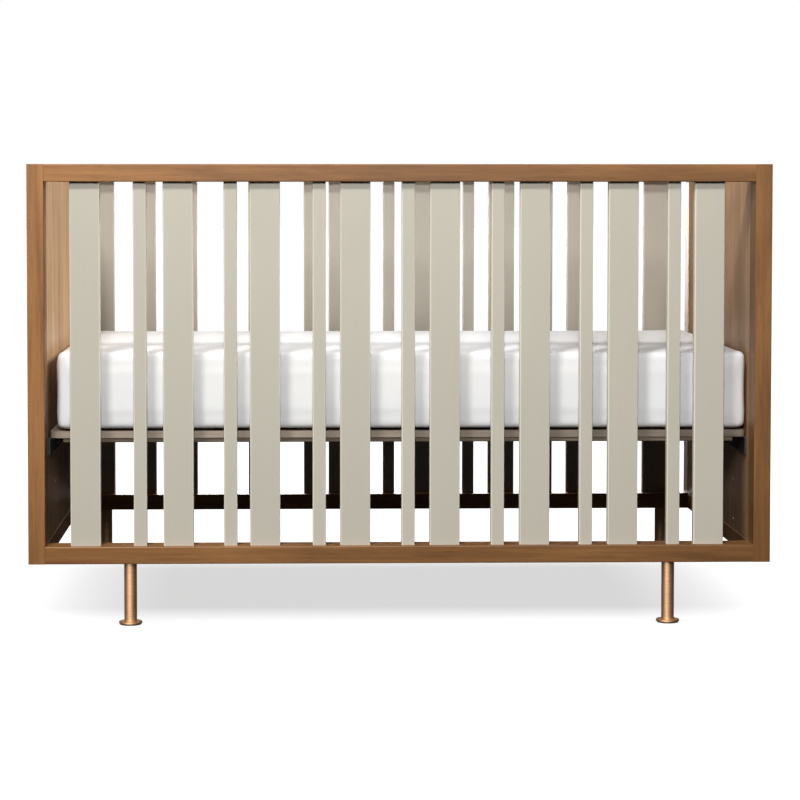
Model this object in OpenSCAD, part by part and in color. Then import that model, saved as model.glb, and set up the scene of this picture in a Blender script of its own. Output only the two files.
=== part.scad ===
// Baby crib: a post-and-rail box with panelled ends, slatted long sides, a bolted
// height-adjustable mattress support and four round legs.
// Millimetres. X runs along the crib, -Y is the front, +Z is up.
// The origin is the centre of the footprint, on the floor.

/* [Frame] */
// Length over the two ends
overall_length = 1400; // [1380:5:1420]
// Clear width between the front and rear rails
inside_width = 710; // [700:1:720]
// Height of the wooden frame, without the legs
frame_height = 752; // [740:1:790]
// Width of a post as seen from the front
post_width = 32; // [30:1:40]
// Depth of the posts and of the long rails, front to back
rail_depth = 55; // [50:1:60]
// Height of every rail
rail_height = 33; // [30:1:40]
// Radius of the eased edges of posts and rails
wood_edge = 2; // [1:0.5:4]

/* [End panels] */
// Thickness of an end panel
panel_thickness = 19; // [15:1:22]
// Step from a post's inner side back to the panel
panel_recess = 1; // [1:0.5:3]
// Thickness of the tongue round the panel
tongue_thickness = 8; // [6:1:10]
// Reach of the tongue into its groove
tongue_reach = 8; // [5:1:8]

/* [Slats] */
// Width of a wide slat
wide_slat = 57; // [52:1:60]
// Width of a narrow slat
narrow_slat = 25; // [22:1:28]
// Thickness of a slat
slat_thickness = 19; // [16:1:20]
// Distance from the outer face of a long side back to its slats
slat_setback = 12; // [10:1:14]
// Radius of a slat's long edges
slat_edge = 3; // [1:0.5:5]
// Length of the tenon at each end of a slat
tenon_length = 12; // [8:1:14]
// Spread of the rear slats compared with the front ones
rear_spread = 1.038; // [1:0.002:1.04]
// Shift of the rear slats along X
rear_shift = -6; // [-8:1:0]

/* [Legs] */
// Height of the frame's underside above the floor
leg_height = 118; // [100:1:140]
// Diameter of a leg tube
leg_diameter = 24; // [20:1:28]
// Wall of a leg tube
leg_wall = 2; // [1.5:0.5:3]
// Diameter of the round foot under a leg
foot_diameter = 44; // [40:1:50]
// Thickness of the round foot
foot_thickness = 4; // [3:1:6]
// Thickness of the felt pad under a foot
pad_thickness = 2; // [1:0.5:3]
// Distance of the front legs from the middle
front_leg_x = 510; // [480:1:540]
// Distance of the rear legs from the middle
rear_leg_x = 612; // [590:1:625]

/* [Mattress and support] */
// Height of the top of the support board above the floor
support_top = 362; // [350:1:370]
// Thickness of the support board
board_thickness = 13; // [10:1:18]
// Step between two heights of the support
height_step = 78; // [70:1:80]
// Length of the mattress
mattress_length = 1320; // [1300:1:1326]
// Width of the mattress
mattress_width = 696; // [680:1:698]
// Thickness of the mattress
mattress_thickness = 152; // [100:1:152]
// Distance of the mattress's middle from the crib's middle, along X
mattress_shift = 6; // [-6:1:6]

/* [Hidden] */
$fn = 48;
LEFT = -1;
RIGHT = 1;
FRONT = -1;
REAR = 1;

// Main planes of the frame
half_length = overall_length / 2;
half_depth = inside_width / 2 + rail_depth;
half_inside = inside_width / 2;
post_inner_x = half_length - post_width;
frame_top = leg_height + frame_height;
bottom_rail_top = leg_height + rail_height;
top_rail_bottom = frame_top - rail_height;
rail_middles = [leg_height + rail_height / 2, frame_top - rail_height / 2];

// End panels
panel_inner_x = post_inner_x + panel_recess;
panel_middle_x = panel_inner_x + panel_thickness / 2;
panel_height = top_rail_bottom - bottom_rail_top;
groove_gap = 0.1;

// Slats: centre-to-centre steps from the first slat at the left
slat_steps = [103, 72, 98, 65, 102, 68, 100, 69, 100, 70, 97, 70, 96, 67];
first_slat_x = -593;
slat_count = len(slat_steps) + 1;
slat_plane = half_depth - slat_setback - slat_thickness / 2;
tenon_thickness = 10;
tenon_shoulder = 5;
slot_gap = 0.1;

// Screws, bolts and dowels
bolt_radius = 3;
bolt_length = 66;
bolt_head_radius = 7;
bolt_head_height = 3;
counterbore_gap = 0.5;
counterbore_depth = bolt_head_height + counterbore_gap;
cap_head_radius = 6;
cap_head_height = 5;
hole_gap = 0.05;
hole_end_gap = 0.2;
socket_width = 5;
socket_depth = 2;
bolt_y = half_inside + 12;
nut_radius = 5;
nut_length = 16;
nut_inset = 20;
nut_start = 2;
dowel_radius = 4;
dowel_half = 11;
end_dowel_out = 7;
end_dowel_offset = 9;
end_dowel_levels = [rail_middles[0] - end_dowel_offset, rail_middles[1] + end_dowel_offset];
stud_radius = 4;
stud_length = 20;
leg_y = half_depth - rail_depth / 2;
vent_radius = 5;
foot_rim = 1;
pad_inset = 2;

// Mattress support
board_half_length = 665;
board_setback = 10;
board_half_width = mattress_width / 2 - board_setback;
board_corner = 12;
mattress_corner = 25;
mattress_gap = 0.5;
batten_width = 35;
batten_height = 9;
batten_inset = 3;
bracket_thickness = 3;
bracket_half_width = 330;
bracket_flange = 25;
bracket_drop = 34;
bracket_gap = 0.5;
board_bottom = support_top - board_thickness;
bracket_bottom = board_bottom - bracket_drop;
bracket_x = panel_inner_x - bracket_gap - bracket_thickness;
support_bolt_y = 193;
support_bolt_drop = 33.5;
support_bolt_z = support_top - support_bolt_drop;
heights_below = 2;
heights_above = 1;
insert_outer_radius = 4.5;
insert_length = 13;

// Colours
WALNUT = [0.60, 0.42, 0.27];
PANEL = [0.66, 0.50, 0.36];
SLAT_PAINT = [0.76, 0.73, 0.66];
BRASS = [0.80, 0.58, 0.38];
STEEL = [0.55, 0.56, 0.58];
DARK_STEEL = [0.12, 0.11, 0.10];
BOARD = [0.70, 0.64, 0.57];
BATTEN = [0.45, 0.38, 0.30];
BEECH = [0.80, 0.65, 0.45];
FELT = [0.35, 0.33, 0.30];
SHEET = [0.95, 0.95, 0.94];

function two_digits(n) = n < 10 ? str("0", n) : str(n);
function slat_name(row, i) = str(row, "_slat_", two_digits(i + 1));
function is_wide(i) = i % 2 == 0;
function slat_width(i) = is_wide(i) ? wide_slat : narrow_slat;
function front_x(i) = i == 0 ? first_slat_x : front_x(i - 1) + slat_steps[i - 1];
function slat_x(i, side) =
    side == FRONT ? front_x(i) : front_x(i) * rear_spread + rear_shift;

SLATS = [for (row = ["front", "rear"], i = [0:slat_count - 1]) slat_name(row, i)];

// ---- Shared shapes ----

// Rectangle a by b with its corners rounded by r, centred on the origin
module bar_section(a, b, r) {
    square([a - 2 * r, b], center = true);
    square([a, b - 2 * r], center = true);
    for (sx = [-1, 1], sy = [-1, 1])
        translate([sx * (a / 2 - r), sy * (b / 2 - r)])
            circle(r);
}

// Upright bar standing on z = 0
module upright(w, d, h, r) {
    linear_extrude(h) bar_section(w, d, r);
}

// Bar along X, centred on the origin
module beam_x(length, d, h, r) {
    rotate([90, 0, 90]) linear_extrude(length, center = true) bar_section(d, h, r);
}

// Bar along Y, centred on the origin
module beam_y(length, w, h, r) {
    rotate([90, 0, 0]) linear_extrude(length, center = true) bar_section(w, h, r);
}

// Rod along X, centred on the origin
module rod_x(r, length) {
    rotate([0, 90, 0]) cylinder(r = r, h = length, center = true);
}

// Rod along Y, centred on the origin
module rod_y(r, length) {
    rotate([90, 0, 0]) cylinder(r = r, h = length, center = true);
}

// Hexagon socket along X, reaching depth to both sides of the origin
module hex_socket_x(depth) {
    rotate([0, 90, 0])
        cylinder(d = socket_width / cos(30), h = 2 * depth, center = true, $fn = 6);
}

// ---- Places of the fasteners ----

// Bolts through the posts into the ends of the long rails
module at_bolts() {
    for (end = [LEFT, RIGHT], side = [FRONT, REAR], z = rail_middles)
        translate([end * half_length, side * bolt_y, z])
            mirror([end == LEFT ? 0 : 1, 0, 0])
                children();
}

// Barrel nuts that the bolts screw into, seen from inside the crib
module at_nuts() {
    for (end = [LEFT, RIGHT], side = [FRONT, REAR], z = rail_middles)
        translate([end * (post_inner_x - nut_inset),
                   side * (half_inside + nut_start + nut_length / 2), z])
            children();
}

// Dowels between the posts and the long rails
module at_long_dowels() {
    for (end = [LEFT, RIGHT], side = [FRONT, REAR], z = rail_middles)
        translate([end * post_inner_x, side * slat_plane, z])
            children();
}

// Dowels between the posts and the end rails, kept clear of the bolts and the panel's tongue
module at_end_dowels() {
    for (end = [LEFT, RIGHT], side = [FRONT, REAR], z = end_dowel_levels)
        translate([end * (half_length - post_width / 2),
                   side * (half_inside + end_dowel_out - dowel_half), z])
            children();
}

// Middles of the threaded inserts in the end panels, for every height of the support
module at_inserts() {
    for (end = [LEFT, RIGHT], side = [FRONT, REAR], k = [-heights_below:heights_above])
        translate([end * (panel_inner_x + insert_length / 2),
                   side * support_bolt_y, support_bolt_z + k * height_step])
            children();
}

// ---- Wooden frame ----

// Space taken out of posts and rails for the fasteners
module joinery_holes() {
    bolt_shank_holes();
    at_bolts() rod_x(bolt_head_radius + counterbore_gap, 2 * counterbore_depth);
    at_nuts() rod_y(nut_radius + hole_gap, nut_length + 2 * nut_start);
    at_long_dowels() rod_x(dowel_radius + hole_gap, 2 * (dowel_half + hole_end_gap));
    at_end_dowels() rod_y(dowel_radius + hole_gap, 2 * (dowel_half + hole_end_gap));
}

module bolt_shank_holes() {
    at_bolts()
        translate([bolt_length / 2, 0, 0])
            rod_x(bolt_radius + hole_gap, bolt_length + 2 * counterbore_gap);
}

module post(end, side) {
    color(WALNUT)
        difference() {
            translate([end * (half_length - post_width / 2),
                       side * (half_depth - rail_depth / 2), leg_height])
                upright(post_width, rail_depth, frame_height, wood_edge);
            panel_body(end, groove_gap);
            joinery_holes();
        }
}

// A panel with its tongue; gap widens the tongue for the groove
module panel_body(end, gap) {
    reach = tongue_reach + gap;
    thick = tongue_thickness + 2 * gap;
    translate([end * panel_middle_x, 0, (bottom_rail_top + top_rail_bottom) / 2]) {
        if (gap == 0)
            cube([panel_thickness, inside_width, panel_height], center = true);
        cube([thick, inside_width + 2 * reach, panel_height + 2 * reach], center = true);
    }
}

module end_panel(end) {
    color(PANEL)
        difference() {
            panel_body(end, 0);
            at_inserts() rod_x(insert_outer_radius, insert_length + 2 * hole_gap);
        }
}

module end_rail(end, z) {
    color(WALNUT)
        difference() {
            translate([end * (half_length - post_width / 2), 0, z])
                beam_y(inside_width, post_width, rail_height, wood_edge);
            panel_body(end, groove_gap);
            joinery_holes();
        }
}

// A slat's tenon as a block; gap widens it for the mortise
module tenon(i, side, z, gap) {
    translate([slat_x(i, side), side * slat_plane, z])
        cube([slat_width(i) - 2 * tenon_shoulder + 2 * gap,
              tenon_thickness + 2 * gap, 2 * (tenon_length + gap)], center = true);
}

module long_rail(side, z, slat_end) {
    color(WALNUT)
        difference() {
            translate([0, side * (half_depth - rail_depth / 2), z])
                beam_x(2 * post_inner_x, rail_depth, rail_height, wood_edge);
            for (i = [0:slat_count - 1])
                tenon(i, side, slat_end, slot_gap);
            joinery_holes();
            for (end = [LEFT, RIGHT])
                at_leg(end, side)
                    cylinder(r = stud_radius + hole_gap, h = 2 * (stud_length + hole_end_gap),
                             center = true);
        }
}

module slat(i, side) {
    color(SLAT_PAINT) {
        translate([slat_x(i, side), side * slat_plane, bottom_rail_top])
            upright(slat_width(i), slat_thickness, panel_height, slat_edge);
        for (z = [bottom_rail_top, top_rail_bottom])
            tenon(i, side, z, 0);
    }
}

// ---- Legs ----

// Centre of a leg at the underside of the frame
module at_leg(end, side) {
    x = side == FRONT ? front_leg_x : rear_leg_x;
    translate([end * x, side * leg_y, leg_height])
        children();
}

module leg(end, side) {
    tube_height = leg_height - pad_thickness - foot_thickness;
    foot_bottom = -tube_height - foot_thickness;
    foot_width = foot_diameter / 2 - vent_radius;
    color(BRASS)
        at_leg(end, side)
            rotate_extrude() {
                translate([leg_diameter / 2 - leg_wall, -tube_height])
                    square([leg_wall, tube_height]);
                translate([0, -foot_thickness])
                    square([leg_diameter / 2, foot_thickness]);
                translate([vent_radius, foot_bottom])
                    square([foot_width - foot_rim, foot_thickness]);
                translate([vent_radius, foot_bottom + foot_rim])
                    square([foot_width, foot_thickness - 2 * foot_rim]);
                for (z = [foot_rim, foot_thickness - foot_rim])
                    translate([foot_diameter / 2 - foot_rim, foot_bottom + z])
                        circle(foot_rim);
                square([stud_radius, stud_length]);
            }
}

module floor_pads() {
    color(FELT)
        for (end = [LEFT, RIGHT], side = [FRONT, REAR])
            at_leg(end, side)
                translate([0, 0, -leg_height])
                    cylinder(d = foot_diameter - 2 * pad_inset, h = pad_thickness);
}

// ---- Fasteners of the frame ----

// Flat-headed bolt along +X with a hexagon socket, its head sunk below the face
module frame_bolt() {
    difference() {
        union() {
            translate([counterbore_gap + bolt_head_height / 2, 0, 0])
                rod_x(bolt_head_radius, bolt_head_height);
            translate([(counterbore_gap + bolt_length) / 2, 0, 0])
                rod_x(bolt_radius, bolt_length - counterbore_gap);
        }
        translate([counterbore_gap, 0, 0])
            hex_socket_x(socket_depth);
    }
}

module frame_bolts() {
    color(STEEL) at_bolts() frame_bolt();
}

module barrel_nuts() {
    color(STEEL)
        difference() {
            at_nuts()
                rod_y(nut_radius, nut_length);
            bolt_shank_holes();
        }
}

module dowels() {
    color(BEECH) {
        at_long_dowels() rod_x(dowel_radius, 2 * dowel_half);
        at_end_dowels() rod_y(dowel_radius, 2 * dowel_half);
    }
}

module height_inserts() {
    color(STEEL)
        at_inserts()
            difference() {
                rod_x(insert_outer_radius, insert_length);
                rod_x(bolt_radius, insert_length + 1);
            }
}

// ---- Mattress support ----

module support_board() {
    color(BOARD)
        translate([0, 0, board_bottom])
            upright(2 * board_half_length, 2 * board_half_width, board_thickness, board_corner);
}

module support_batten(side) {
    y = side * (board_half_width - batten_inset - batten_width / 2);
    length = 2 * (bracket_x - bracket_flange - bracket_gap);
    color(BATTEN)
        translate([0, y, board_bottom - batten_height / 2])
            beam_x(length, batten_width, batten_height, wood_edge);
}

// Steel angle along the end panel: the board lies on its flange
module support_bracket(end) {
    color(DARK_STEEL)
        mirror([end == LEFT ? 1 : 0, 0, 0])
            difference() {
                union() {
                    translate([bracket_x, -bracket_half_width, bracket_bottom])
                        cube([bracket_thickness, 2 * bracket_half_width, bracket_drop]);
                    translate([bracket_x - bracket_flange, -bracket_half_width,
                               board_bottom - bracket_thickness])
                        cube([bracket_flange + bracket_thickness, 2 * bracket_half_width,
                              bracket_thickness]);
                }
                for (side = [FRONT, REAR])
                    translate([bracket_x + bracket_thickness / 2,
                               side * support_bolt_y, support_bolt_z])
                        rod_x(bolt_radius + hole_gap, bracket_thickness + 1);
            }
}

// Cap-headed bolts that hold the brackets, shown down to the back of the bracket
module support_bolts() {
    color(STEEL)
        for (end = [LEFT, RIGHT], side = [FRONT, REAR])
            translate([end * bracket_x, side * support_bolt_y, support_bolt_z])
                mirror([end == LEFT ? 1 : 0, 0, 0])
                    difference() {
                        union() {
                            translate([-cap_head_height / 2, 0, 0])
                                rod_x(cap_head_radius, cap_head_height);
                            translate([bracket_thickness / 2, 0, 0])
                                rod_x(bolt_radius, bracket_thickness);
                        }
                        translate([-cap_head_height, 0, 0])
                            hex_socket_x(bracket_thickness);
                    }
}

module mattress() {
    color(SHEET)
        translate([mattress_shift, 0, support_top + mattress_gap])
            upright(mattress_length, mattress_width, mattress_thickness - mattress_gap,
                    mattress_corner);
}

// ---- The nodes ----

post(LEFT, FRONT);  // post_front_left
post(RIGHT, FRONT);  // post_front_right
post(LEFT, REAR);  // post_rear_left
post(RIGHT, REAR);  // post_rear_right
end_panel(LEFT);  // end_panel_left
end_panel(RIGHT);  // end_panel_right
end_rail(LEFT, rail_middles[1]);  // end_top_rail_left
end_rail(RIGHT, rail_middles[1]);  // end_top_rail_right
end_rail(LEFT, rail_middles[0]);  // end_bottom_rail_left
end_rail(RIGHT, rail_middles[0]);  // end_bottom_rail_right
long_rail(FRONT, rail_middles[1], top_rail_bottom);  // front_top_rail
long_rail(FRONT, rail_middles[0], bottom_rail_top);  // front_bottom_rail
long_rail(REAR, rail_middles[1], top_rail_bottom);  // rear_top_rail
long_rail(REAR, rail_middles[0], bottom_rail_top);  // rear_bottom_rail
for (i = [0:slat_count - 1]) {
    slat(i, FRONT);
    slat(i, REAR);
}
leg(LEFT, FRONT);  // leg_front_left
leg(RIGHT, FRONT);  // leg_front_right
leg(LEFT, REAR);  // leg_rear_left
leg(RIGHT, REAR);  // leg_rear_right
floor_pads();
frame_bolts();
barrel_nuts();
dowels();
height_inserts();
support_board();
support_batten(FRONT);  // support_batten_front
support_batten(REAR);  // support_batten_rear
support_bracket(LEFT);  // support_bracket_left
support_bracket(RIGHT);  // support_bracket_right
support_bolts();
mattress();
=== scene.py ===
import math

import bmesh
import bpy
from mathutils import Matrix, Vector, noise


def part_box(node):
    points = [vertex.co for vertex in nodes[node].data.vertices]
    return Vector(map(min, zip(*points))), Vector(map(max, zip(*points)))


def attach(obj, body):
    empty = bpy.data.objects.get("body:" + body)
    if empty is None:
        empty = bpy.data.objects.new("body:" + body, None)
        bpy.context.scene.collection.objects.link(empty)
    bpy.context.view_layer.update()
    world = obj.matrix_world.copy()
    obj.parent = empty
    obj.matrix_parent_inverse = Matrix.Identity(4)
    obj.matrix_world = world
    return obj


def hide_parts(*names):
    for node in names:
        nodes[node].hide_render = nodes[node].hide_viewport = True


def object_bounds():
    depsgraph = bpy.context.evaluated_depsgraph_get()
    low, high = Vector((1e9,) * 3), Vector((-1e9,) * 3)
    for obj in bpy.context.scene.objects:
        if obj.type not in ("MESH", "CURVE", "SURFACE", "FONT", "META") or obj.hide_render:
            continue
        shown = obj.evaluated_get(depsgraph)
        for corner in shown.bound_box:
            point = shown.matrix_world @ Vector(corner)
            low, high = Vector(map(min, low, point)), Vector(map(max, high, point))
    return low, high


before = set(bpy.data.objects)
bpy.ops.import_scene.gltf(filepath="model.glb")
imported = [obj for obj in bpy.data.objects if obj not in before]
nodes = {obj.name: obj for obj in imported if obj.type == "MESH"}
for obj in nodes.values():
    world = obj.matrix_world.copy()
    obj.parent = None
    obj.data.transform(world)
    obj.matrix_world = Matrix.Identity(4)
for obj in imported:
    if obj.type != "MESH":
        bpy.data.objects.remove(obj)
cad_low, cad_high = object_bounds()


# ---- Camera, floor and light -------------------------------------------------------------

# The eye stands a little left of the middle, at the height of the top rail's underside
EYE_DISTANCE = 4.556
EYE_LEFT = 0.208
EYE_BELOW_TOP = 0.035
TURN_RIGHT = math.radians(1.37)
TILT_DOWN = math.radians(2.45)
LENS = 109.44
SENSOR = 36.0
SHIFT_RIGHT = 0.065
SHIFT_DOWN = 0.1415

FLOOR_SIZE = 80.0
FLOOR_COLOUR = 0.50
FLOOR_GLOW = 0.665
GLOW_NEAR = 0.9
GLOW_FAR = 2.6
SKY_TOP = 0.27
SKY_LOW = 0.02
SKY_STARTS = 0.1      # height of the view direction at which the sky begins to brighten
SKY_ENDS = 0.9
BACKDROP = 1.0

# Soft boxes aimed at the crib's middle. Azimuth 0 is the front and 90 the right end, in
# degrees; distance and size in metres; power in watts.
LIGHTS = {
    "key": dict(azimuth=-21.9, elevation=49, distance=6.7, size=(1.0, 1.0), power=285,
                colour=(1.0, 0.985, 0.96)),
    "front": dict(azimuth=-2.4, elevation=22, distance=5.36, size=(0.4, 0.9), power=142),
    "side": dict(azimuth=108, elevation=38, distance=4.5, size=(1.6, 1.6), power=150),
    "back": dict(azimuth=180, elevation=22, distance=5.0, size=(3.5, 2.0), power=48),
    "leg_glint": dict(azimuth=-22, elevation=4, distance=4.5, size=(3.2, 1.6), power=120),
    "panel_glow": dict(azimuth=108, elevation=38, distance=4.5, size=(1.6, 1.6), power=165,
                       colour=(0.95, 1.0, 0.92)),
    "rear_fill": dict(azimuth=180, elevation=10, distance=5.0, size=(3.5, 2.0), power=150),
    "left_fill": dict(azimuth=-92, elevation=8, distance=4.5, size=(2.0, 1.0), power=110),
    "overhead": dict(azimuth=0, elevation=84, distance=3.0, size=(5.0, 2.3), power=190),
}


def make_camera():
    data = bpy.data.cameras.new("camera")
    data.sensor_width = SENSOR
    data.lens = LENS
    data.shift_x = SHIFT_RIGHT
    data.shift_y = -SHIFT_DOWN
    camera = bpy.data.objects.new("camera", data)
    camera.location = (-EYE_LEFT, cad_low.y - EYE_DISTANCE, cad_high.z - EYE_BELOW_TOP)
    camera.rotation_euler = (math.pi / 2 - TILT_DOWN, 0, -TURN_RIGHT)
    bpy.context.scene.collection.objects.link(camera)
    bpy.context.scene.camera = camera


def softbox(name, azimuth, elevation, distance, size, power, colour=(1, 1, 1)):
    """An area light aimed at the crib's middle."""
    middle = (cad_low + cad_high) / 2
    a = math.radians(azimuth)
    e = math.radians(elevation)
    away = Vector((math.sin(a) * math.cos(e), -math.cos(a) * math.cos(e), math.sin(e)))
    data = bpy.data.lights.new(name, "AREA")
    data.shape = "RECTANGLE"
    data.size, data.size_y = size
    data.energy = power
    data.color = colour
    light = bpy.data.objects.new(name, data)
    light.location = middle + away * distance
    light.rotation_euler = (-away).to_track_quat("-Z", "Y").to_euler()
    bpy.context.scene.collection.objects.link(light)
    return light


def fall_on(light, pieces, mode="INCLUDE"):
    """Lets a light fall on these pieces only, or with EXCLUDE on all but them."""
    group = bpy.data.collections.new(light.name + "_falls_on")
    for piece in pieces:
        group.objects.link(piece)
    for entry in group.collection_objects:
        entry.light_linking.link_state = mode
    light.light_linking.receiver_collection = group


def shadow_of(light, pieces):
    """Lets only these pieces cast a light's shadows."""
    group = bpy.data.collections.new(light.name + "_shadow_of")
    for piece in pieces:
        group.objects.link(piece)
    light.light_linking.blocker_collection = group


def make_world():
    """White to the camera; as a light, a dim sky that is brightest overhead."""
    world = bpy.data.worlds.new("studio")
    world.use_nodes = True
    tree = world.node_tree
    tree.nodes.clear()
    where = tree.nodes.new("ShaderNodeTexCoord")
    split = tree.nodes.new("ShaderNodeSeparateXYZ")
    sky = tree.nodes.new("ShaderNodeMapRange")
    path = tree.nodes.new("ShaderNodeLightPath")
    pick = tree.nodes.new("ShaderNodeMix")
    background = tree.nodes.new("ShaderNodeBackground")
    output = tree.nodes.new("ShaderNodeOutputWorld")
    sky.inputs["From Min"].default_value = SKY_STARTS
    sky.inputs["From Max"].default_value = SKY_ENDS
    sky.inputs["To Min"].default_value = SKY_LOW
    sky.inputs["To Max"].default_value = SKY_TOP
    pick.inputs["B"].default_value = BACKDROP
    background.inputs["Color"].default_value = (1, 1, 1, 1)
    tree.links.new(where.outputs["Generated"], split.inputs[0])
    tree.links.new(split.outputs["Z"], sky.inputs["Value"])
    tree.links.new(path.outputs["Is Camera Ray"], pick.inputs["Factor"])
    tree.links.new(sky.outputs["Result"], pick.inputs["A"])
    tree.links.new(pick.outputs["Result"], background.inputs["Strength"])
    tree.links.new(background.outputs[0], output.inputs[0])
    bpy.context.scene.world = world
    bpy.context.scene.view_settings.view_transform = "Standard"


def make_floor():
    """A pale floor that glows up to the backdrop's white a few metres out."""
    mesh = bpy.data.meshes.new("floor")
    half = FLOOR_SIZE / 2
    mesh.from_pydata([(-half, -half, 0), (half, -half, 0), (half, half, 0), (-half, half, 0)],
                     [], [(0, 1, 2, 3)])
    floor = bpy.data.objects.new("floor", mesh)
    bpy.context.scene.collection.objects.link(floor)
    made = Recipe("floor")
    made.set(Base_Color=(FLOOR_COLOUR,) * 3 + (1,), Roughness=1.0, Specular_IOR_Level=0.0,
             Emission_Color=(1, 1, 1, 1))
    where = made.node("TexCoord").outputs["Object"]
    away = made.node("VectorMath", {0: where}, operation="LENGTH").outputs["Value"]
    glow = made.node("MapRange", {"Value": away, "From Min": GLOW_NEAR, "From Max": GLOW_FAR,
                                  "To Min": FLOOR_GLOW, "To Max": BACKDROP},
                     interpolation_type="SMOOTHSTEP")
    made.feed(glow.outputs["Result"], "Emission Strength")
    mesh.materials.append(made.material)
    floor.visible_diffuse = False
    floor.visible_glossy = False
    return floor


def make_studio():
    """Four boxes light the crib; the others each light the floor or a few pieces only."""
    make_world()
    floor = make_floor()
    light = {name: softbox(name, **settings) for name, settings in LIGHTS.items()}
    for name in ("key", "front", "side", "back"):
        fall_on(light[name], [floor], "EXCLUDE")
    fall_on(light["leg_glint"], [nodes["leg_front_left"], nodes["leg_front_right"]])
    fall_on(light["panel_glow"], [nodes["end_panel_left"]])
    fall_on(light["rear_fill"], [node for name, node in nodes.items() if "rear" in name])
    left_end = [name for name in nodes if name.startswith(("post", "end")) and "left" in name]
    fall_on(light["left_fill"], [nodes[name] for name in left_end])
    fall_on(light["overhead"], [floor])
    low_pieces = ["support_board", "leg_front_left", "leg_front_right", "leg_rear_left",
                  "leg_rear_right"]
    shadow_of(light["overhead"], [nodes[name] for name in low_pieces])


# ---- Material building -------------------------------------------------------------------

class Recipe:
    """A material under construction: its node tree and its Principled shader."""

    def __init__(self, name):
        self.material = bpy.data.materials.new(name)
        self.material.use_nodes = True
        self.tree = self.material.node_tree
        self.shader = self.tree.nodes["Principled BSDF"]

    def node(self, kind, inputs=None, **settings):
        made = self.tree.nodes.new("ShaderNode" + kind)
        for name, value in settings.items():
            setattr(made, name, value)
        for name, value in (inputs or {}).items():
            if isinstance(value, bpy.types.NodeSocket):
                self.tree.links.new(value, made.inputs[name])
            else:
                made.inputs[name].default_value = value
        return made

    def feed(self, socket, name):
        self.tree.links.new(socket, self.shader.inputs[name])

    def set(self, **values):
        for name, value in values.items():
            self.shader.inputs[name.replace("_", " ")].default_value = value

    def place(self, scale, turn=(0, 0, 0), offset=(0, 0, 0)):
        """Object coordinates, turned so that the material runs along the piece, then scaled."""
        coordinates = self.node("TexCoord").outputs["Object"]
        turned = self.node("Mapping", {"Vector": coordinates, "Rotation": turn})
        sized = self.node("Mapping", {"Vector": turned.outputs[0], "Scale": scale,
                                      "Location": offset})
        return sized.outputs[0]

    def noise(self, where, scale, detail=4.0, roughness=0.55, distortion=0.0):
        made = self.node("TexNoise", {"Vector": where, "Scale": scale, "Detail": detail,
                                      "Roughness": roughness, "Distortion": distortion})
        return made.outputs["Fac"]

    def ramp(self, value, stops):
        made = self.node("ValToRGB", {"Fac": value})
        ramp = made.color_ramp
        while len(ramp.elements) < len(stops):
            ramp.elements.new(0.5)
        for element, (position, colour) in zip(ramp.elements, stops):
            element.position = position
            element.color = (*colour, 1) if isinstance(colour, tuple) else (colour,) * 3 + (1,)
        return made.outputs["Color"]

    def mix(self, mode, amount, a, b):
        made = self.node("Mix", data_type="RGBA", blend_type=mode)
        for name, value in (("Factor", amount), ("A", a), ("B", b)):
            socket = next(s for s in made.inputs
                          if s.name == name and s.enabled)
            if isinstance(value, bpy.types.NodeSocket):
                self.tree.links.new(value, socket)
            else:
                socket.default_value = value
        return next(s for s in made.outputs if s.enabled)

    def along(self, piece, axis, tones_and_falloff):
        """A slow change of tone along a CAD node, from its low end to its high end. On most
        pieces that use it, it paints in how the light falls along the piece.
        """
        low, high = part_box(piece)
        i = "xyz".index(axis)
        split = self.node("SeparateXYZ", {0: self.node("TexCoord").outputs["Object"]})
        way = self.node("MapRange", {"Value": split.outputs[i], "From Min": low[i],
                                     "From Max": high[i]})
        stops = [(k / (len(tones_and_falloff) - 1), tone) for k, tone in enumerate(tones_and_falloff)]
        return self.ramp(way.outputs["Result"], stops)

    def maths(self, operation, a, b=0.0):
        made = self.node("Math", {0: a, 1: b}, operation=operation)
        return made.outputs[0]

    def bump(self, height, distance, strength=1.0, under=None):
        inputs = {"Height": height, "Distance": distance, "Strength": strength}
        if under is not None:
            inputs["Normal"] = under
        return self.node("Bump", inputs).outputs[0]


ALONG = {"x": (0, 0, 0), "y": (0, 0, math.radians(-90)), "z": (0, math.radians(90), 0)}


def wood(piece, grain, dark, light, seed, pores=0.5, roughness=0.42, tones_and_falloff=(1.0, 1.0)):
    """Lacquered wood: slow figure, fine fibres and short dark pores along the grain."""
    made = Recipe("wood_" + piece)
    offset = (seed * 3.71, seed * 1.93, seed * 2.57)
    figure_at = made.place((1.1, 13, 13), ALONG[grain], offset)
    fibre_at = made.place((5, 130, 130), ALONG[grain], offset)
    pore_at = made.place((26, 560, 560), ALONG[grain], offset)
    figure = made.noise(figure_at, 1.6, 5, 0.55, 0.7)
    fibre = made.noise(fibre_at, 1.5, 5, 0.6)
    pore = made.noise(pore_at, 1.0, 2, 0.5)
    middle = tuple((a + b) / 2 for a, b in zip(dark, light))
    colour = made.ramp(figure, [(0.32, dark), (0.5, middle), (0.68, light)])
    fibre_tone = made.ramp(fibre, [(0.3, 0.80), (0.7, 1.12)])
    colour = made.mix("MULTIPLY", 1.0, colour, fibre_tone)
    pore_tone = made.ramp(pore, [(0.24, 1 - pores), (0.38, 1.0)])
    colour = made.mix("MULTIPLY", 1.0, colour, pore_tone)
    # Painted light: these tones make a piece lighter or darker along its length, as the light
    # falls off.
    colour = made.mix("MULTIPLY", 1.0, colour, made.along(piece, grain, tones_and_falloff))
    made.feed(colour, "Base Color")
    gloss = made.ramp(fibre, [(0.2, roughness + 0.08), (0.8, roughness - 0.05)])
    made.feed(gloss, "Roughness")
    surface = made.bump(pore_tone, 0.00012, 0.5)
    surface = made.bump(fibre, 0.0002, 0.35, surface)
    made.feed(surface, "Normal")
    made.set(Coat_Weight=0.06, Coat_Roughness=0.3, Specular_IOR_Level=0.35)
    return made.material


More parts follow.
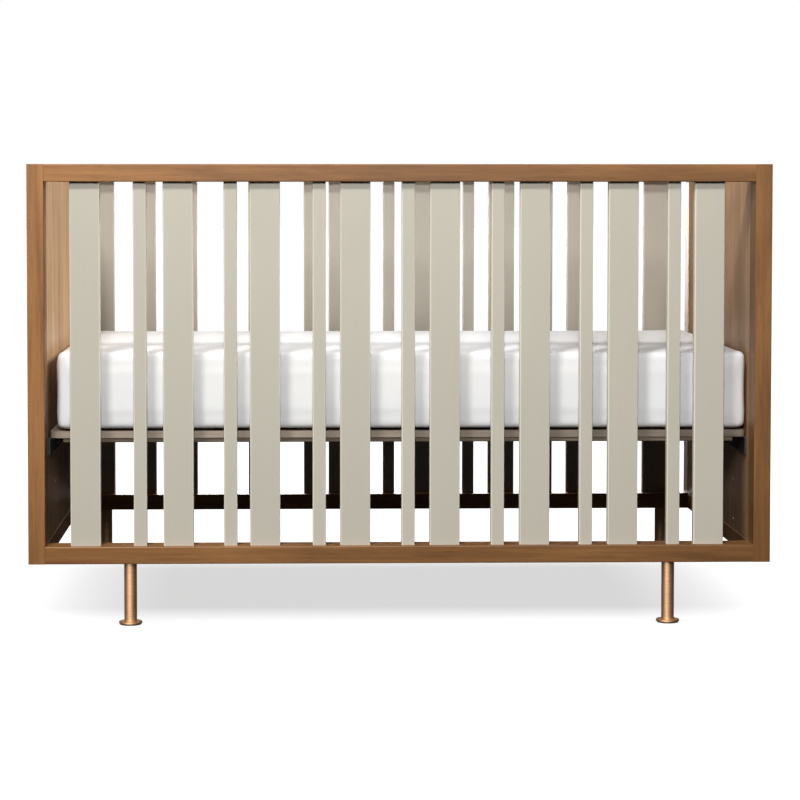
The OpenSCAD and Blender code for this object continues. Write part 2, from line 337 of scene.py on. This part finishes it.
def paint(name, colour, seed, grain="z"):
    """Sprayed satin paint on wood: faint tone drift, a trace of the grain, and a painted
    highlight on the long edges.
    """
    made = Recipe(name)
    offset = (seed * 2.3, seed * 4.1, seed * 1.7)
    drift = made.noise(made.place((3, 3, 3), ALONG[grain], offset), 1.0, 3)
    grain_at = made.place((4, 90, 90), ALONG[grain], offset)
    trace = made.noise(grain_at, 1.2, 4, 0.6)
    peel = made.noise(made.place((420, 420, 420), ALONG[grain], offset), 1.0, 2)
    # Painted highlight: faces turned sideways, the eased long edges, get paler paint that stands
    # in for the light they catch.
    facing = made.node("TexCoord").outputs["Normal"]
    edge_highlight_mask = made.maths("ABSOLUTE", made.node("SeparateXYZ", {0: facing}).outputs["X"])
    edge = made.ramp(edge_highlight_mask, [(0.12, 1 / EDGE_HIGHLIGHT_LIFT), (0.5, 1.0)])
    tone = made.ramp(drift, [(0.3, 0.95), (0.7, 1.0)])
    streak = made.ramp(trace, [(0.3, 0.98), (0.7, 1.0)])
    pale = tuple(channel * EDGE_HIGHLIGHT_LIFT for channel in colour)
    painted = made.mix("MULTIPLY", 1.0, (*pale, 1), edge)
    painted = made.mix("MULTIPLY", 1.0, painted, tone)
    painted = made.mix("MULTIPLY", 1.0, painted, streak)
    made.feed(painted, "Base Color")
    made.feed(made.ramp(drift, [(0.2, 0.50), (0.8, 0.42)]), "Roughness")
    surface = made.bump(trace, 0.00025, 0.3)
    surface = made.bump(peel, 0.00005, 0.35, surface)
    made.feed(surface, "Normal")
    made.set(Specular_IOR_Level=0.45)
    return made.material


def metal(name, colour, roughness, scale, brushed=0.3, seed=0.0):
    """Brushed metal: fine lines round or along the piece, with a slow change of gloss."""
    made = Recipe(name)
    lines = made.noise(made.place(scale, offset=(seed, seed, seed)), 1.0, 3, 0.6)
    smudge = made.noise(made.place((22, 22, 22), offset=(seed, 0, 0)), 1.0, 4)
    tone = made.ramp(lines, [(0.3, 1 - 0.22 * brushed), (0.7, 1.0)])
    made.feed(made.mix("MULTIPLY", 1.0, (*colour, 1), tone), "Base Color")
    gloss = made.maths("MULTIPLY_ADD", smudge, 0.16)
    gloss.node.inputs[2].default_value = roughness - 0.08
    made.feed(gloss, "Roughness")
    made.feed(made.bump(lines, 0.00003, 0.5 * brushed), "Normal")
    made.set(Metallic=1.0)
    return made.material


def powder_coat(name, colour):
    """Matt dark powder coat with a fine pebbled surface."""
    made = Recipe(name)
    pebble = made.noise(made.place((700, 700, 700)), 1.0, 2)
    drift = made.noise(made.place((9, 9, 9)), 1.0, 3)
    tone = made.ramp(drift, [(0.3, 0.85), (0.7, 1.1)])
    made.feed(made.mix("MULTIPLY", 1.0, (*colour, 1), tone), "Base Color")
    made.feed(made.ramp(pebble, [(0.2, 0.55), (0.8, 0.68)]), "Roughness")
    made.feed(made.bump(pebble, 0.0001, 0.6), "Normal")
    return made.material


def felt(name, colour):
    """Pressed felt: short tangled fibres."""
    made = Recipe(name)
    fibres = made.noise(made.place((900, 900, 900)), 1.0, 5, 0.7, 1.2)
    tone = made.ramp(fibres, [(0.3, 0.6), (0.7, 1.25)])
    made.feed(made.mix("MULTIPLY", 1.0, (*colour, 1), tone), "Base Color")
    made.feed(made.bump(fibres, 0.0004, 0.9), "Normal")
    made.set(Roughness=0.95, Sheen_Weight=0.4, Sheen_Roughness=0.6)
    return made.material


WAVE_PERIOD = 0.314   # the wave texture's own period at scale 1


def cotton(name, colour, thread):
    """Plain woven cotton: threads both ways, slight slubs and a soft sheen."""
    made = Recipe(name)
    where = made.place((1, 1, 1))
    waves = []
    for direction in ("X", "Y", "Z"):
        wave = made.node("TexWave", {"Vector": where, "Scale": WAVE_PERIOD / thread,
                                     "Distortion": 0.6, "Detail": 1.0},
                         wave_type="BANDS", bands_direction=direction)
        waves.append(wave.outputs["Fac"])
    weave = made.maths("ADD", made.maths("ADD", waves[0], waves[1]), waves[2])
    slub = made.noise(made.place((60, 900, 900)), 1.0, 3)
    drift = made.noise(made.place((4, 4, 4)), 1.0, 4)
    tone = made.ramp(drift, [(0.3, 0.975), (0.7, 1.0)])
    made.feed(made.mix("MULTIPLY", 1.0, (*colour, 1), tone), "Base Color")
    surface = made.bump(weave, 0.0001, 0.25)
    surface = made.bump(slub, 0.0001, 0.2, surface)
    made.feed(surface, "Normal")
    made.set(Roughness=0.88, Sheen_Weight=0.15, Sheen_Roughness=0.5, Specular_IOR_Level=0.25)
    return made.material


def finish(node, material):
    """Gives a CAD node its material."""
    data = nodes[node].data
    data.materials.clear()
    data.materials.append(material)


# ---- Colours, linear ---------------------------------------------------------------------

WALNUT_DARK = (0.277, 0.118, 0.036)
WALNUT_LIGHT = (0.531, 0.248, 0.082)
PANEL_DARK = (0.30, 0.17, 0.085)
PANEL_LIGHT = (0.50, 0.30, 0.165)
SLAT_COLOUR = (0.565, 0.528, 0.442)
# Painted shade: the rear slats have the front slats' paint, darkened because they stand further
# back in less light.
REAR_SLAT_SHADED_COLOUR = (0.41, 0.38, 0.32)
# How much paler the slat paint is on the eased edges: a painted highlight where they catch the
# light.
EDGE_HIGHLIGHT_LIFT = 1.5
BRASS_COLOUR = (0.72, 0.44, 0.24)
STEEL_COLOUR = (0.45, 0.45, 0.46)
BOARD_DARK = (0.33, 0.26, 0.20)
BOARD_LIGHT = (0.46, 0.38, 0.30)
BATTEN_DARK = (0.10, 0.075, 0.05)
BATTEN_LIGHT = (0.17, 0.13, 0.09)
BEECH_DARK = (0.50, 0.35, 0.19)
BEECH_LIGHT = (0.66, 0.49, 0.30)
BRACKET_COLOUR = (0.035, 0.030, 0.026)
FELT_COLOUR = (0.10, 0.09, 0.08)
SHEET_COLOUR = (0.79, 0.80, 0.81)
TICKING_COLOUR = (0.70, 0.70, 0.68)

SHEET_THREAD = 0.0009     # from one thread to the next
TICKING_THREAD = 0.0014


# Tones along each piece, from its left, rear or low end to its right, front or high end. Those of
# the front posts and rails, and faintly those of the rear rails, are painted light: lighter
# towards the upper left, where the light falls strongest.
POST_TONES_AND_FALLOFF = {"front_left": (0.64, 0.76, 0.88), "front_right": (0.55, 0.57, 0.60),
              "rear_left": (0.76, 0.76), "rear_right": (0.76, 0.76)}
RAIL_TONES_AND_FALLOFF = {"front_top": (0.97, 0.66, 0.67), "front_bottom": (0.78, 0.61, 0.53),
              "rear_top": (0.76, 0.68), "rear_bottom": (0.76, 0.68)}
END_RAIL_TONES = (0.76, 0.80)
# Painted light: the right panel's inner face is painted lighter over its top third, where light
# comes in over the top rail.
PANEL_TONES_AND_LIT_TOP = {"left": (1.0, 1.0, 1.0), "right": (1.0, 1.0, 1.0, 1.45)}


def dress_frame():
    for i, (corner, tones_and_falloff) in enumerate(POST_TONES_AND_FALLOFF.items()):
        post = "post_" + corner
        finish(post, wood(post, "z", WALNUT_DARK, WALNUT_LIGHT, 1.3 + i, tones_and_falloff=tones_and_falloff))
    for i, (level, tones_and_falloff) in enumerate(RAIL_TONES_AND_FALLOFF.items()):
        rail = level + "_rail"
        finish(rail, wood(rail, "x", WALNUT_DARK, WALNUT_LIGHT, 7.1 + i, tones_and_falloff=tones_and_falloff))
    for i, end in enumerate(("left", "right")):
        for j, level in enumerate(("top", "bottom")):
            rail = f"end_{level}_rail_{end}"
            finish(rail, wood(rail, "y", WALNUT_DARK, WALNUT_LIGHT, 12.7 + 2 * i + j,
                              tones_and_falloff=END_RAIL_TONES))
        panel = "end_panel_" + end
        finish(panel, wood(panel, "z", PANEL_DARK, PANEL_LIGHT, 17.9 + i, tones_and_falloff=PANEL_TONES_AND_LIT_TOP[end]))


def dress_slats():
    # The rear row's darker colour is painted shade.
    for row, colour in (("front", SLAT_COLOUR), ("rear", REAR_SLAT_SHADED_COLOUR)):
        for i in range(1, 16):
            name = f"{row}_slat_{i:02d}"
            finish(name, paint("paint_" + name, colour, i + (20 if row == "rear" else 0)))


def dress_hardware():
    for i, leg in enumerate(("front_left", "front_right", "rear_left", "rear_right")):
        finish("leg_" + leg, metal("brass_leg_" + leg, BRASS_COLOUR, 0.55, (60, 60, 900), 1.0, i))
    steel = metal("zinc_steel", STEEL_COLOUR, 0.38, (300, 300, 300))
    for name in ("frame_bolts", "barrel_nuts", "height_inserts", "support_bolts"):
        finish(name, steel)
    finish("floor_pads", felt("felt_pads", FELT_COLOUR))
    finish("dowels", wood("dowels", "x", BEECH_DARK, BEECH_LIGHT, 3.3, 0.2, 0.6))


def dress_support():
    board = "support_board"
    # Painted shade: the board darkens to half from its left end to its right, as the light falls
    # off across it.
    finish(board, wood(board, "x", BOARD_DARK, BOARD_LIGHT, 5.2, 0.15, 0.55, (1.0, 0.75, 0.5)))
    for i, batten in enumerate(("support_batten_front", "support_batten_rear")):
        finish(batten, wood(batten, "x", BATTEN_DARK, BATTEN_LIGHT, 6.4 + i, 0.3, 0.6))
    coat = powder_coat("powder_coat", BRACKET_COLOUR)
    finish("support_bracket_left", coat)
    finish("support_bracket_right", coat)


# ---- Mattress and fitted sheet -----------------------------------------------------------

SWELL_ROOM = 0.0015   # the pad starts this much smaller, and swells
SWELL_CAP = 0.0015    # the furthest that any point may swell
SWELL_FRAMES = 20
SWELL_PRESSURE = 4.0
SWELL_QUALITY = 3
STRETCH_STIFFNESS = 40
BENDING_STIFFNESS = 2.0
VOXEL = 0.006
SMOOTHINGS = 2
CORNER_SEGMENTS = 6
EDGE_SEGMENTS = 4
LEVEL = 1e-6          # points closer than this in height are level
TOP_RADIUS = 0.008
FOOT_RADIUS = 0.007
CORNER_RADIUS = 0.014
SHEET_GAP = 0.0012    # from the ticking out to the sheet
HEM_ROOM = 0.003      # from the board up to the ticking
HEM_DEPTH = 0.09      # how far the hem reaches in under the mattress
HEM_GATHER = 0.0012
GATHER_PITCH = 0.013
HOLLOW = 0.0009       # mean depth of the sheet's faint hollows
HOLLOW_SLOW = 0.0007  # how much it varies from place to place
HOLLOW_FINE = 0.0003
HOLLOW_FADE = (0.015, 0.06)   # distances from an edge over which the hollows come in


def new_object(name, mesh):
    made = bpy.data.objects.new(name, mesh)
    bpy.context.scene.collection.objects.link(made)
    return made


def apply_modifiers(piece):
    """Bakes the piece's modifiers into its mesh."""
    graph = bpy.context.evaluated_depsgraph_get()
    mesh = bpy.data.meshes.new_from_object(piece.evaluated_get(graph))
    piece.modifiers.clear()
    old = piece.data
    piece.data = mesh
    bpy.data.meshes.remove(old)


def rounded_block(name, low, high):
    """A block with rounded upright corners, a tight top edge and a softer foot."""
    mesh = bmesh.new()
    size = high - low
    bmesh.ops.create_cube(mesh, size=1.0, matrix=Matrix.Translation((low + high) / 2)
                          @ Matrix.Diagonal((*size, 1)))
    upright = [e for e in mesh.edges if abs(e.verts[0].co.z - e.verts[1].co.z) > size.z / 2]
    bmesh.ops.bevel(mesh, geom=upright, offset=CORNER_RADIUS, segments=CORNER_SEGMENTS,
                    affect="EDGES", profile=0.5)
    for level, radius in ((high.z, TOP_RADIUS), (low.z, FOOT_RADIUS)):
        rim = [e for e in mesh.edges if all(abs(v.co.z - level) < LEVEL for v in e.verts)]
        bmesh.ops.bevel(mesh, geom=rim, offset=radius, segments=EDGE_SEGMENTS, affect="EDGES",
                        profile=0.5)
    data = bpy.data.meshes.new(name)
    mesh.to_mesh(data)
    mesh.free()
    return new_object(name, data)


def swell(piece, cap):
    """Inflates the piece as cloth, and lets no point move further than cap."""
    start = [v.co.copy() for v in piece.data.vertices]
    cloth = piece.modifiers.new("swell", "CLOTH")
    cloth.settings.use_pressure = True
    cloth.settings.uniform_pressure_force = SWELL_PRESSURE
    cloth.settings.effector_weights.gravity = 0.0
    cloth.settings.quality = SWELL_QUALITY
    cloth.settings.tension_stiffness = STRETCH_STIFFNESS
    cloth.settings.compression_stiffness = STRETCH_STIFFNESS
    cloth.settings.bending_stiffness = BENDING_STIFFNESS
    cloth.point_cache.frame_start = 1
    cloth.point_cache.frame_end = SWELL_FRAMES
    scene = bpy.context.scene
    for step in range(1, SWELL_FRAMES + 1):
        scene.frame_set(step)
    apply_modifiers(piece)
    for vertex, origin in zip(piece.data.vertices, start):
        moved = vertex.co - origin
        if moved.length > cap:
            vertex.co = origin + moved * (cap / moved.length)
    scene.frame_set(1)


def fit_box(piece, low, high):
    """Scales the piece along each axis until it fills the box."""
    points = [v.co for v in piece.data.vertices]
    for i in range(3):
        least = min(p[i] for p in points)
        most = max(p[i] for p in points)
        scale = (high[i] - low[i]) / (most - least)
        for p in points:
            p[i] = low[i] + (p[i] - least) * scale


def ease(value, start, end):
    """Rises smoothly from 0 at start to 1 at end."""
    t = min(1.0, max(0.0, (value - start) / (end - start)))
    return t * t * (3 - 2 * t)


def wrinkle(piece, low, high):
    """Faint slow hollows: inward on the walls, downward on the top, none at the edges."""
    normals = [v.normal.copy() for v in piece.data.vertices]
    for vertex, normal in zip(piece.data.vertices, normals):
        p = vertex.co
        wall = min(p.x - low.x, high.x - p.x, p.y - low.y, high.y - p.y)
        below_top = high.z - p.z
        to_rim = min(below_top, p.z - low.z)
        slow = noise.noise(p * 5.0)
        fine = noise.noise(Vector((p.x * 21, p.y * 21, p.z * 3.0)))
        depth = HOLLOW + HOLLOW_SLOW * slow + HOLLOW_FINE * fine
        if abs(normal.z) < 0.5:
            vertex.co = p - normal * depth * ease(to_rim, *HOLLOW_FADE)
        elif normal.z > 0.5:
            vertex.co = p - Vector((0, 0, depth)) * ease(wall, *HOLLOW_FADE)


def make_pad(low, high):
    """The mattress itself, in its ticking."""
    room = Vector((SWELL_ROOM,) * 3)
    core = rounded_block("mattress_pad", low + room, high - room)
    remesh = core.modifiers.new("remesh", "REMESH")
    remesh.mode = "VOXEL"
    remesh.voxel_size = VOXEL
    apply_modifiers(core)
    swell(core, SWELL_CAP)
    smooth = core.modifiers.new("smooth", "SMOOTH")
    smooth.factor = 0.5
    smooth.iterations = SMOOTHINGS
    apply_modifiers(core)
    fit_box(core, low, high)
    wrinkle(core, low, high)
    return core


def make_sheet(core, low, high):
    """The pad's surface a little further out, open underneath inside a gathered hem."""
    sheet = new_object("fitted_sheet", core.data.copy())
    subdivide = sheet.modifiers.new("subdivide", "SUBSURF")
    subdivide.levels = subdivide.render_levels = 1
    apply_modifiers(sheet)
    cloth = bmesh.new()
    cloth.from_mesh(sheet.data)
    for vertex in cloth.verts:
        vertex.co += vertex.normal * SHEET_GAP

    def depth(p):
        return min(p.x - low.x, high.x - p.x, p.y - low.y, high.y - p.y)

    hidden = [f for f in cloth.faces
              if f.normal.z < -0.7 and depth(f.calc_center_median()) > HEM_DEPTH]
    bmesh.ops.delete(cloth, geom=hidden, context="FACES")
    for vertex in cloth.verts:
        p = vertex.co
        if p.z < low.z and depth(p) > FOOT_RADIUS:
            along_end = min(p.x - low.x, high.x - p.x) < min(p.y - low.y, high.y - p.y)
            run = p.y if along_end else p.x
            pull = (depth(p) - FOOT_RADIUS) / (HEM_DEPTH - FOOT_RADIUS)
            wave = 0.5 + 0.5 * math.sin(run * math.tau / GATHER_PITCH)
            p.z -= HEM_GATHER * wave * min(1.0, pull)
    cloth.to_mesh(sheet.data)
    cloth.free()
    return sheet


def make_mattress():
    """The pad and its fitted sheet, which together stand for the CAD mattress."""
    low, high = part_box("mattress")
    pad_low = low + Vector((SHEET_GAP, SHEET_GAP, HEM_ROOM))
    pad_high = high - Vector((SHEET_GAP,) * 3)
    core = make_pad(pad_low, pad_high)
    sheet = make_sheet(core, pad_low, pad_high)
    core.data.materials.append(cotton("cotton_ticking", TICKING_COLOUR, TICKING_THREAD))
    sheet.data.materials.clear()
    sheet.data.materials.append(cotton("cotton_sheet", SHEET_COLOUR, SHEET_THREAD))
    for piece in (core, sheet):
        piece.data.polygons.foreach_set("use_smooth", [True] * len(piece.data.polygons))
        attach(piece, "mattress")
    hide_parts("mattress")


make_camera()
make_studio()
dress_frame()
dress_slats()
dress_hardware()
dress_support()
make_mattress()
